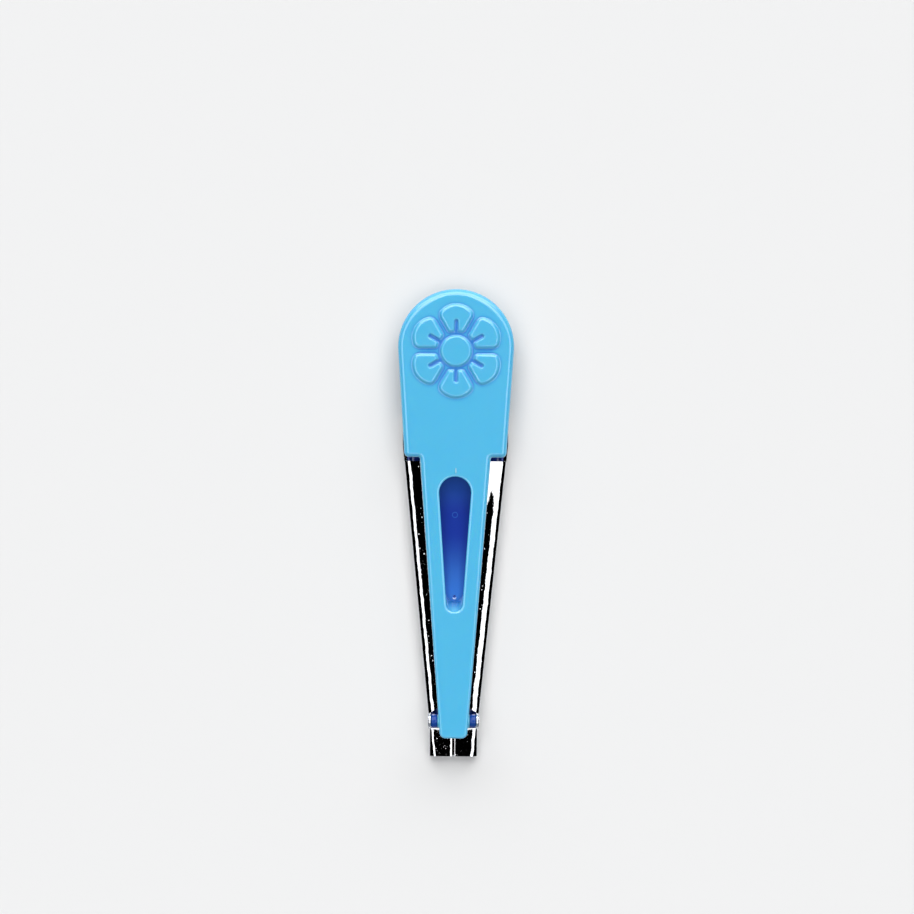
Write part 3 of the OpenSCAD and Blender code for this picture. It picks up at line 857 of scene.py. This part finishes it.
def ear(s):
    """An ear on top of the wall: a neck and a round head with the rivet's hole in it. It leans
    from the tapered wall in to the upright plane across the rivet."""
    foot = np.column_stack([s, WALL_TOP + 0 * s])
    rise = np.linspace(0, 1, 8)[1:, None]
    first = np.arcsin(-NECK_DROP / EAR_R)
    a = np.linspace(first, PI - first, 30)
    crown = np.column_stack([HINGE_S + EAR_R * np.cos(a), HINGE_Z + EAR_R * np.sin(a)])
    rear = foot[-1:] * (1 - rise) + rise * crown[:1]
    front = (foot[:1] * (1 - rise) + rise * crown[-1:])[:-1][::-1]
    loop = np.concatenate([foot, rear, crown[1:], front])
    away = loop - [HINGE_S, HINGE_Z]
    hole = PIN_HOLE_R * away / np.linalg.norm(away, axis=1, keepdims=True) + [HINGE_S, HINGE_Z]
    q = np.concatenate([[0], np.linspace(0.32, 1, 7)])[:, None, None]
    face = loop[None] * (1 - q) + hole[None] * q
    blend = smooth(WALL_TOP, WALL_TOP + 1.1, face[..., 1])
    x = half_width(face[..., 0]) * (1 - blend) + EAR_X * blend
    return grid(np.concatenate([x[..., None], face], -1), closed=True, flip=True)


def side_strips(side):
    """Strips of the sheet on one side: lower wall, tube top, upper wall, rail and ear. Points
    are on the outer face, for the right side; the caller mirrors the left."""
    s = folder_rows()

    def rows(first, last):
        """The rows between two places, with the ends."""
        return s[(s >= first - 1e-9) & (s <= last + 1e-9)]

    return [
        lower_wall(s),
        tube_top(rows(0, TUBE_LEN), side),
        upper_wall(rows(TUBE_LEN + RELIEF, FOLDER_LEN)),
        rail(rows(RAIL_FRONT, RAIL_REAR), side),
        ear(rows(*EAR_NECK)),
    ]


def ring(s, r, n=40):
    """Circle of n points in plan round the middle line at s."""
    a = np.linspace(0, 2 * PI, n, endpoint=False)
    return np.column_stack([r * np.cos(a), s + r * np.sin(a)])


def mark_ears(mesh):
    """Marks the sharp rim edges of both ears, above the wall, to be rounded over."""
    work = bmesh.new()
    work.from_mesh(mesh)
    weight = work.edges.layers.float.new("bevel_weight_edge")
    for edge in work.edges:
        middle = (edge.verts[0].co + edge.verts[1].co) / 2 / MM
        away = np.hypot(middle.y + OVERALL / 2 - HINGE_S, middle.z - HINGE_Z)
        if middle.z > WALL_TOP + 0.3 and 0.9 < away < 1.6 and edge.calc_face_angle(0) > 0.8:
            edge[weight] = 1
    work.to_mesh(mesh)
    work.free()


def folder_piece():
    """The folded sheet: its strips joined to a flat floor with two stake holes, then given the
    sheet's thickness inwards and small round edges."""
    s = folder_rows()
    s = rear_end(s, 0 * s)
    right = np.column_stack([half_width(s) - BEND, s])
    outline = np.concatenate([right, (right * [-1, 1])[::-1]])
    holes = [ring(k, STAKE_HEAD_R + STAKE_PLAY) for k in STAKES]
    parts = [flat_fill(outline, holes, lambda x, s: 0 * x, True)]
    parts += side_strips(1)
    parts += [mirrored(p) for p in side_strips(-1)]
    obj = piece("folded_sheet", parts, "base", "plated_sheet", bright_plating, "folder")
    wall = obj.modifiers.new("thickness", "SOLIDIFY")
    wall.thickness = SHEET * MM
    wall.offset = -1
    wall.use_even_offset = True
    wall.use_quality_normals = True
    thick = obj.evaluated_get(bpy.context.evaluated_depsgraph_get())
    obj.data = bpy.data.meshes.new_from_object(thick)
    obj.modifiers.clear()
    mark_ears(obj.data)
    soft = obj.modifiers.new("ear_edges", "BEVEL")
    soft.width = 0.19 * MM
    soft.segments = 5
    soft.limit_method = "WEIGHT"
    edge = obj.modifiers.new("edges", "BEVEL")
    edge.width = 0.05 * MM
    edge.segments = 2
    edge.limit_method = "ANGLE"
    edge.angle_limit = np.radians(50)
    edge.harden_normals = True
    return obj


# Liner, rivet and washers

LINER_TOP = 1.1
LIP_H = 0.8
LIP_T = 0.4
HOLLOW_R = 0.45
LINER_PLAY = 0.08
LINER_RAMP = 1.8
DIMPLE_R = 0.31
DIMPLE_DEPTH = 0.2


def liner_half(s):
    """Half the liner's width: the folder's inside less the play, and less at the ears."""
    plain = half_width(s) - SHEET - LINER_PLAY
    return np.where(s < RAIL_FRONT, np.minimum(plain, EAR_X - SHEET - LINER_PLAY), plain)


def mark_relief(x, s):
    """Marks over the stakes: the rear one a faint ring with a faint pit in it, the front one a
    round hollow, deepest in its middle."""
    rear = np.hypot(x, s - STAKES[1])
    front = np.hypot(x, s - STAKES[0])
    ring_mark = 0.002 * np.exp(-((rear - 0.39) / 0.05) ** 2) * (1 - smooth(0.46, 0.54, rear))
    pit = 0.003 * (1 - smooth(0.02, 0.15, rear))
    hollow = DIMPLE_DEPTH * np.sqrt(np.clip(1 - (front / DIMPLE_R) ** 2, 0, 1))
    return ring_mark - pit - hollow


def liner_section(s):
    """Section of the liner at every row, as x and z of its points: underside, lower bend, lip
    with a round top and hollow corner, top with the marks, and the same on the left."""
    half = liner_half(s)[:, None]
    r = BEND - SHEET
    turn = np.radians(np.linspace(-90, 0, 8))
    lower_x = half - r + r * np.cos(turn)
    lower_z = BEND + r * np.sin(turn) + 0 * half
    turn = np.radians(np.linspace(0, 180, 9))
    lip_x = half - LIP_T / 2 + LIP_T / 2 * np.cos(turn)
    lip_z = LINER_TOP + LIP_H - LIP_T / 2 + LIP_T / 2 * np.sin(turn) + 0 * half
    reach = half - LIP_T - HOLLOW_R
    turn = np.radians(np.linspace(0, -90, 8))
    hollow_x = reach + HOLLOW_R * np.cos(turn)
    hollow_z = LINER_TOP + HOLLOW_R + HOLLOW_R * np.sin(turn) + 0 * half
    right_x = np.concatenate([lower_x, lip_x, hollow_x], 1)
    right_z = np.concatenate([lower_z, lip_z, hollow_z], 1)
    broad = np.linspace(1, 0.6, 5) * reach
    fine = np.linspace(0.55, -0.55, 32) + 0 * reach
    top_x = np.concatenate([broad, fine, -broad[:, ::-1]], 1)[:, 1:-1]
    top_z = LINER_TOP + mark_relief(top_x, s[:, None])
    base_x = top_x[:, ::-1] * (half - r) / reach
    base_z = SHEET + 0 * base_x
    x = np.concatenate([base_x, right_x, top_x, -right_x[:, ::-1]], 1)
    return x, np.concatenate([base_z, right_z, top_z, right_z[:, ::-1]], 1)


def end_face(row, down):
    """Upright face over the section at one end of the liner."""
    loop = row[:, [0, 2]]
    loop = loop[np.r_[True, np.abs(np.diff(loop, axis=0)).sum(1) > 1e-6]]
    flat, tris = flat_fill(loop, [], lambda x, z: 0 * x, down)
    points = np.column_stack([flat[:, 0], row[0, 1] + 0 * flat[:, 0], flat[:, 1]])
    return points, [t[::-1] for t in tris]


def stake_part(s):
    """A stake down through the floor of the sheet, with its head flush with the underside."""
    profile = np.array([[0, 0], [STAKE_HEAD_R, 0], [STAKE_R, SHEET], [STAKE_R, 0.7], [0, 0.7]])
    turn = np.linspace(0, 2 * PI, 40, endpoint=False)
    r, z = profile[:, 0:1], profile[:, 1:2]
    return grid(np.stack([r * np.cos(turn), s + r * np.sin(turn), z + 0 * turn], -1), closed=True)


def paint_liner(obj):
    """Share of the deeper tint at each point of the liner, whose own colour is the deeper tint:
    little in a patch under the slot's front half, a painted pool of light; somewhat less towards
    the slot's rear end, painted light too; on the rear mark a painted highlight ring round a
    painted shade dot, and on the front one a painted shade dot with a painted highlight crescent
    before it."""
    x, s, z = places(obj)
    # A painted pool of light on the floor under the slot's front half.
    front = smooth(16, 23, s) * (1 - smooth(23, 35, s)) * (1 - smooth(1.4, 2.2, np.abs(x)))
    front *= z > 0.8
    # Mostly the liner's own dark blue; less towards the slot's rear end, as painted light.
    share = 0.98 - 0.9 * front - 0.33 * smooth(37, 43.5, s) * (1 - smooth(43.5, 46, s))
    rear = np.hypot(x, s - STAKES[1])
    # Painted highlight: a lighter ring round the rear mark.
    share -= 0.3 * np.exp(-((rear - 0.4) / 0.06) ** 2) * (s > 30)
    # Painted shade: a dark dot in the rear mark's pit.
    share += 0.3 * (1 - smooth(0.05, 0.14, rear))
    # Painted shade: a dark dot on the rear side of the front mark's hollow.
    share += (1 - share) * (1 - smooth(0.12, 0.22, np.hypot(x, s - STAKES[0] - 0.1)))
    # Painted highlight: a pale crescent on the front side of the front mark's hollow.
    away = np.hypot(x, s - STAKES[0] + 0.05)
    pale = smooth(0.14, 0.2, away) * (1 - smooth(0.27, 0.33, away))
    pale *= smooth(0.02, 0.12, STAKES[0] - s)
    paint(obj, share * (1 - pale) - pale)


def liner_piece():
    """The liner: its section carried from end to end, cut down to a thin edge along a short
    ramp at both ends, and the two stakes."""
    front, rear = TUBE_LEN + LINER_PLAY, FOLDER_LEN - LINER_PLAY
    near = [np.linspace(k - 0.55, k + 0.55, 34) for k in STAKES]
    s = np.concatenate([np.linspace(front, front + 2.2, 14), np.linspace(8, 23.5, 30), near[0],
                        np.linspace(25.4, 36.4, 20), near[1], np.linspace(38, 49.8, 24),
                        np.linspace(50.2, rear, 14)])
    x, z = liner_section(s)
    end = np.minimum(s - front, rear - s)[:, None]
    beyond = LINER_TOP + 3 * (end - LINER_RAMP) + 0.001
    z = np.minimum(z, np.where(end < LINER_RAMP, SHEET + 0.25 + end / 4, beyond))
    points = np.stack([x, s[:, None] + 0 * x, z], -1)
    parts = [grid(points, closed=True, flip=True), end_face(points[0], True),
             end_face(points[-1], False), *(stake_part(k) for k in STAKES)]
    obj = piece("liner_runner", parts, "base", "liner_plastic", dark_blue_plastic, "liner")
    paint_liner(obj)
    return obj


def rivet_piece():
    """The rivet: a shaft across the tool with a low domed head on each ear."""
    head_r, head_t, shaft_r = 1.2, 0.2, 0.5
    q = np.linspace(0, 1, 12)
    dome = np.column_stack([EAR_X + head_t * np.sqrt(1 - q ** 2 * 0.96), head_r * q])
    under = np.array([[EAR_X + 0.001, shaft_r], [EAR_X + 0.001, head_r * 0.98]])
    half = np.concatenate([under, dome[::-1]])
    profile = np.concatenate([half[::-1] * [-1, 1], half])
    return piece("rivet_bright", [turned(profile[::-1], HINGE_S, HINGE_Z)], "base",
                 "plated_rivet", bright_plating, "hinge_rivet")


def washer_piece(name, side, solid):
    """A washer: a ring between the hub and an ear, with a bevel at the hub's side and 0.05 mm
    play at each."""
    x0, x1 = HUB_HALF + 0.05, EAR_X - SHEET - 0.05
    bevel = [[x0, HUB_R - 0.08], [x0 + 0.3, HUB_R]]
    corners = np.array([[x0, PIN_HOLE_R], *bevel, [x1, HUB_R], [x1, PIN_HOLE_R]])
    profile = rounded(corners, 0.06)
    part = turned(np.concatenate([profile, profile[:1]]), HINGE_S, HINGE_Z)
    part = part if side > 0 else mirrored(part)
    return piece(name, [part], "base", "liner_plastic", shaded_navy_plastic, solid)


handle_piece()
folder_piece()
liner_piece()
rivet_piece()
washer_piece("washer_ring_left", -1, "washer_left")
washer_piece("washer_ring_right", 1, "washer_right")


# Table, light and camera


def table_top():
    """A wide pale table top, a hundredth of a millimetre below the tool's underside."""
    side, z = 3.0, -0.01 * MM
    corners = [(-side, -side, z), (side, -side, z), (side, side, z), (-side, side, z)]
    mesh = bpy.data.meshes.new("table_top")
    mesh.from_pydata(corners, [], [[0, 1, 2, 3]])
    obj = bpy.data.objects.new("table_top", mesh)
    bpy.context.scene.collection.objects.link(obj)
    material = bpy.data.materials.new("pale_table")
    material.use_nodes = True
    shader = material.node_tree.nodes["Principled BSDF"]
    shader.inputs["Base Color"].default_value = (0.7, 0.7, 0.7, 1)
    shader.inputs["Roughness"].default_value = 0.9
    shader.inputs["Specular IOR Level"].default_value = 0.1
    mesh.materials.append(material)


def studio_light():
    """Soft boxes of a small studio, as bands of the sky by their angles: a long one on each
    side, two bright ones behind the head, and before the tip a weak one and a faint fill."""
    world = bpy.data.worlds.new("studio")
    bpy.context.scene.world = world
    world.use_nodes = True
    tree = world.node_tree
    tree.nodes.clear()
    link = tree.links.new
    place = node(tree, "ShaderNodeTexCoord")
    parts = node(tree, "ShaderNodeSeparateXYZ")
    link(place.outputs["Generated"], parts.inputs["Vector"])

    def degrees(turn):
        """The angle that a node gives, in degrees."""
        changed = node(tree, "ShaderNodeMath", operation="DEGREES")
        link(turn.outputs["Value"], changed.inputs[0])
        return changed.outputs["Value"]

    def angle(axis):
        """Angle from overhead towards an axis, seen along the tool or across it."""
        turn = node(tree, "ShaderNodeMath", operation="ARCTAN2")
        link(parts.outputs[axis], turn.inputs[0])
        link(parts.outputs["Z"], turn.inputs[1])
        return degrees(turn)

    def tilt(axis):
        """Angle towards an axis out of the upright plane across it."""
        turn = node(tree, "ShaderNodeMath", operation="ARCSINE")
        link(parts.outputs[axis], turn.inputs[0])
        return degrees(turn)

    def band(value, lo, hi, soft):
        """1 between two angles, with soft ends."""
        rise = node(tree, "ShaderNodeMapRange", interpolation_type="SMOOTHSTEP",
                    From_Min=lo - soft, From_Max=lo + soft)
        fall = node(tree, "ShaderNodeMapRange", interpolation_type="SMOOTHSTEP",
                    From_Min=hi - soft, From_Max=hi + soft, To_Min=1.0, To_Max=0.0)
        both = node(tree, "ShaderNodeMath", operation="MULTIPLY")
        link(value, rise.inputs["Value"])
        link(value, fall.inputs["Value"])
        link(rise.outputs["Result"], both.inputs[0])
        link(fall.outputs["Result"], both.inputs[1])
        return both.outputs["Value"]

    across, along = angle("X"), angle("Y")
    sideways, lengthwise = tilt("X"), tilt("Y")
    boxes = [
        (band(across, -36, -4.5, 0.5), band(lengthwise, -16, 30, 2.0), 1.9),
        (band(across, 4.5, 38, 0.5), band(lengthwise, -16, 30, 2.0), 1.9),
        (band(along, 22, 50, 1.0), band(sideways, -25, 25, 2.0), 3.2),
        (band(along, 50, 80, 1.0), band(sideways, -40, 40, 4.0), 3.4),
        (band(along, -32, -10, 1.0), band(sideways, -30, 30, 4.0), 1.3),
    ]
    total = None
    for one, two, strength in boxes:
        product = node(tree, "ShaderNodeMath", operation="MULTIPLY")
        link(one, product.inputs[0])
        link(two, product.inputs[1])
        scaled = node(tree, "ShaderNodeMath", operation="MULTIPLY_ADD")
        scaled.inputs[1].default_value = strength
        scaled.inputs[2].default_value = 0.0
        link(product.outputs["Value"], scaled.inputs[0])
        if total is not None:
            link(total, scaled.inputs[2])
        total = scaled.outputs["Value"]
    white = node(tree, "ShaderNodeBackground", Color=(1, 1, 1, 1))
    link(total, white.inputs["Strength"])
    fill = node(tree, "ShaderNodeBackground", Color=(0.27, 0.3, 0.34, 1))
    low = node(tree, "ShaderNodeMath", operation="MULTIPLY")
    link(band(along, -82, -38, 3.0), low.inputs[0])
    link(band(sideways, -50, 50, 4.0), low.inputs[1])
    link(low.outputs["Value"], fill.inputs["Strength"])
    both = node(tree, "ShaderNodeAddShader")
    link(white.outputs["Background"], both.inputs[0])
    link(fill.outputs["Background"], both.inputs[1])
    out = node(tree, "ShaderNodeOutputWorld")
    link(both.outputs["Shader"], out.inputs["Surface"])


FRAME_PIXELS = 914
PIXELS_PER_MM = 6.5


def overhead_camera():
    """Camera straight above, as far off as a product photograph is taken from, with the scale
    of the photograph at the height of the rails."""
    data = bpy.data.cameras.new("overhead")
    data.lens = 100
    data.sensor_width = 36
    camera = bpy.data.objects.new("overhead", data)
    bpy.context.scene.collection.objects.link(camera)
    distance = FRAME_PIXELS / PIXELS_PER_MM * data.lens / data.sensor_width
    camera.location = (0.25 * MM, 10.2 * MM, (distance + RAIL_H) * MM)
    camera.rotation_euler = (0, 0, np.radians(0.4))
    data.clip_start = 0.01
    bpy.context.scene.camera = camera


table_top()
studio_light()
overhead_camera()
bpy.context.scene.view_settings.view_transform = "Standard"
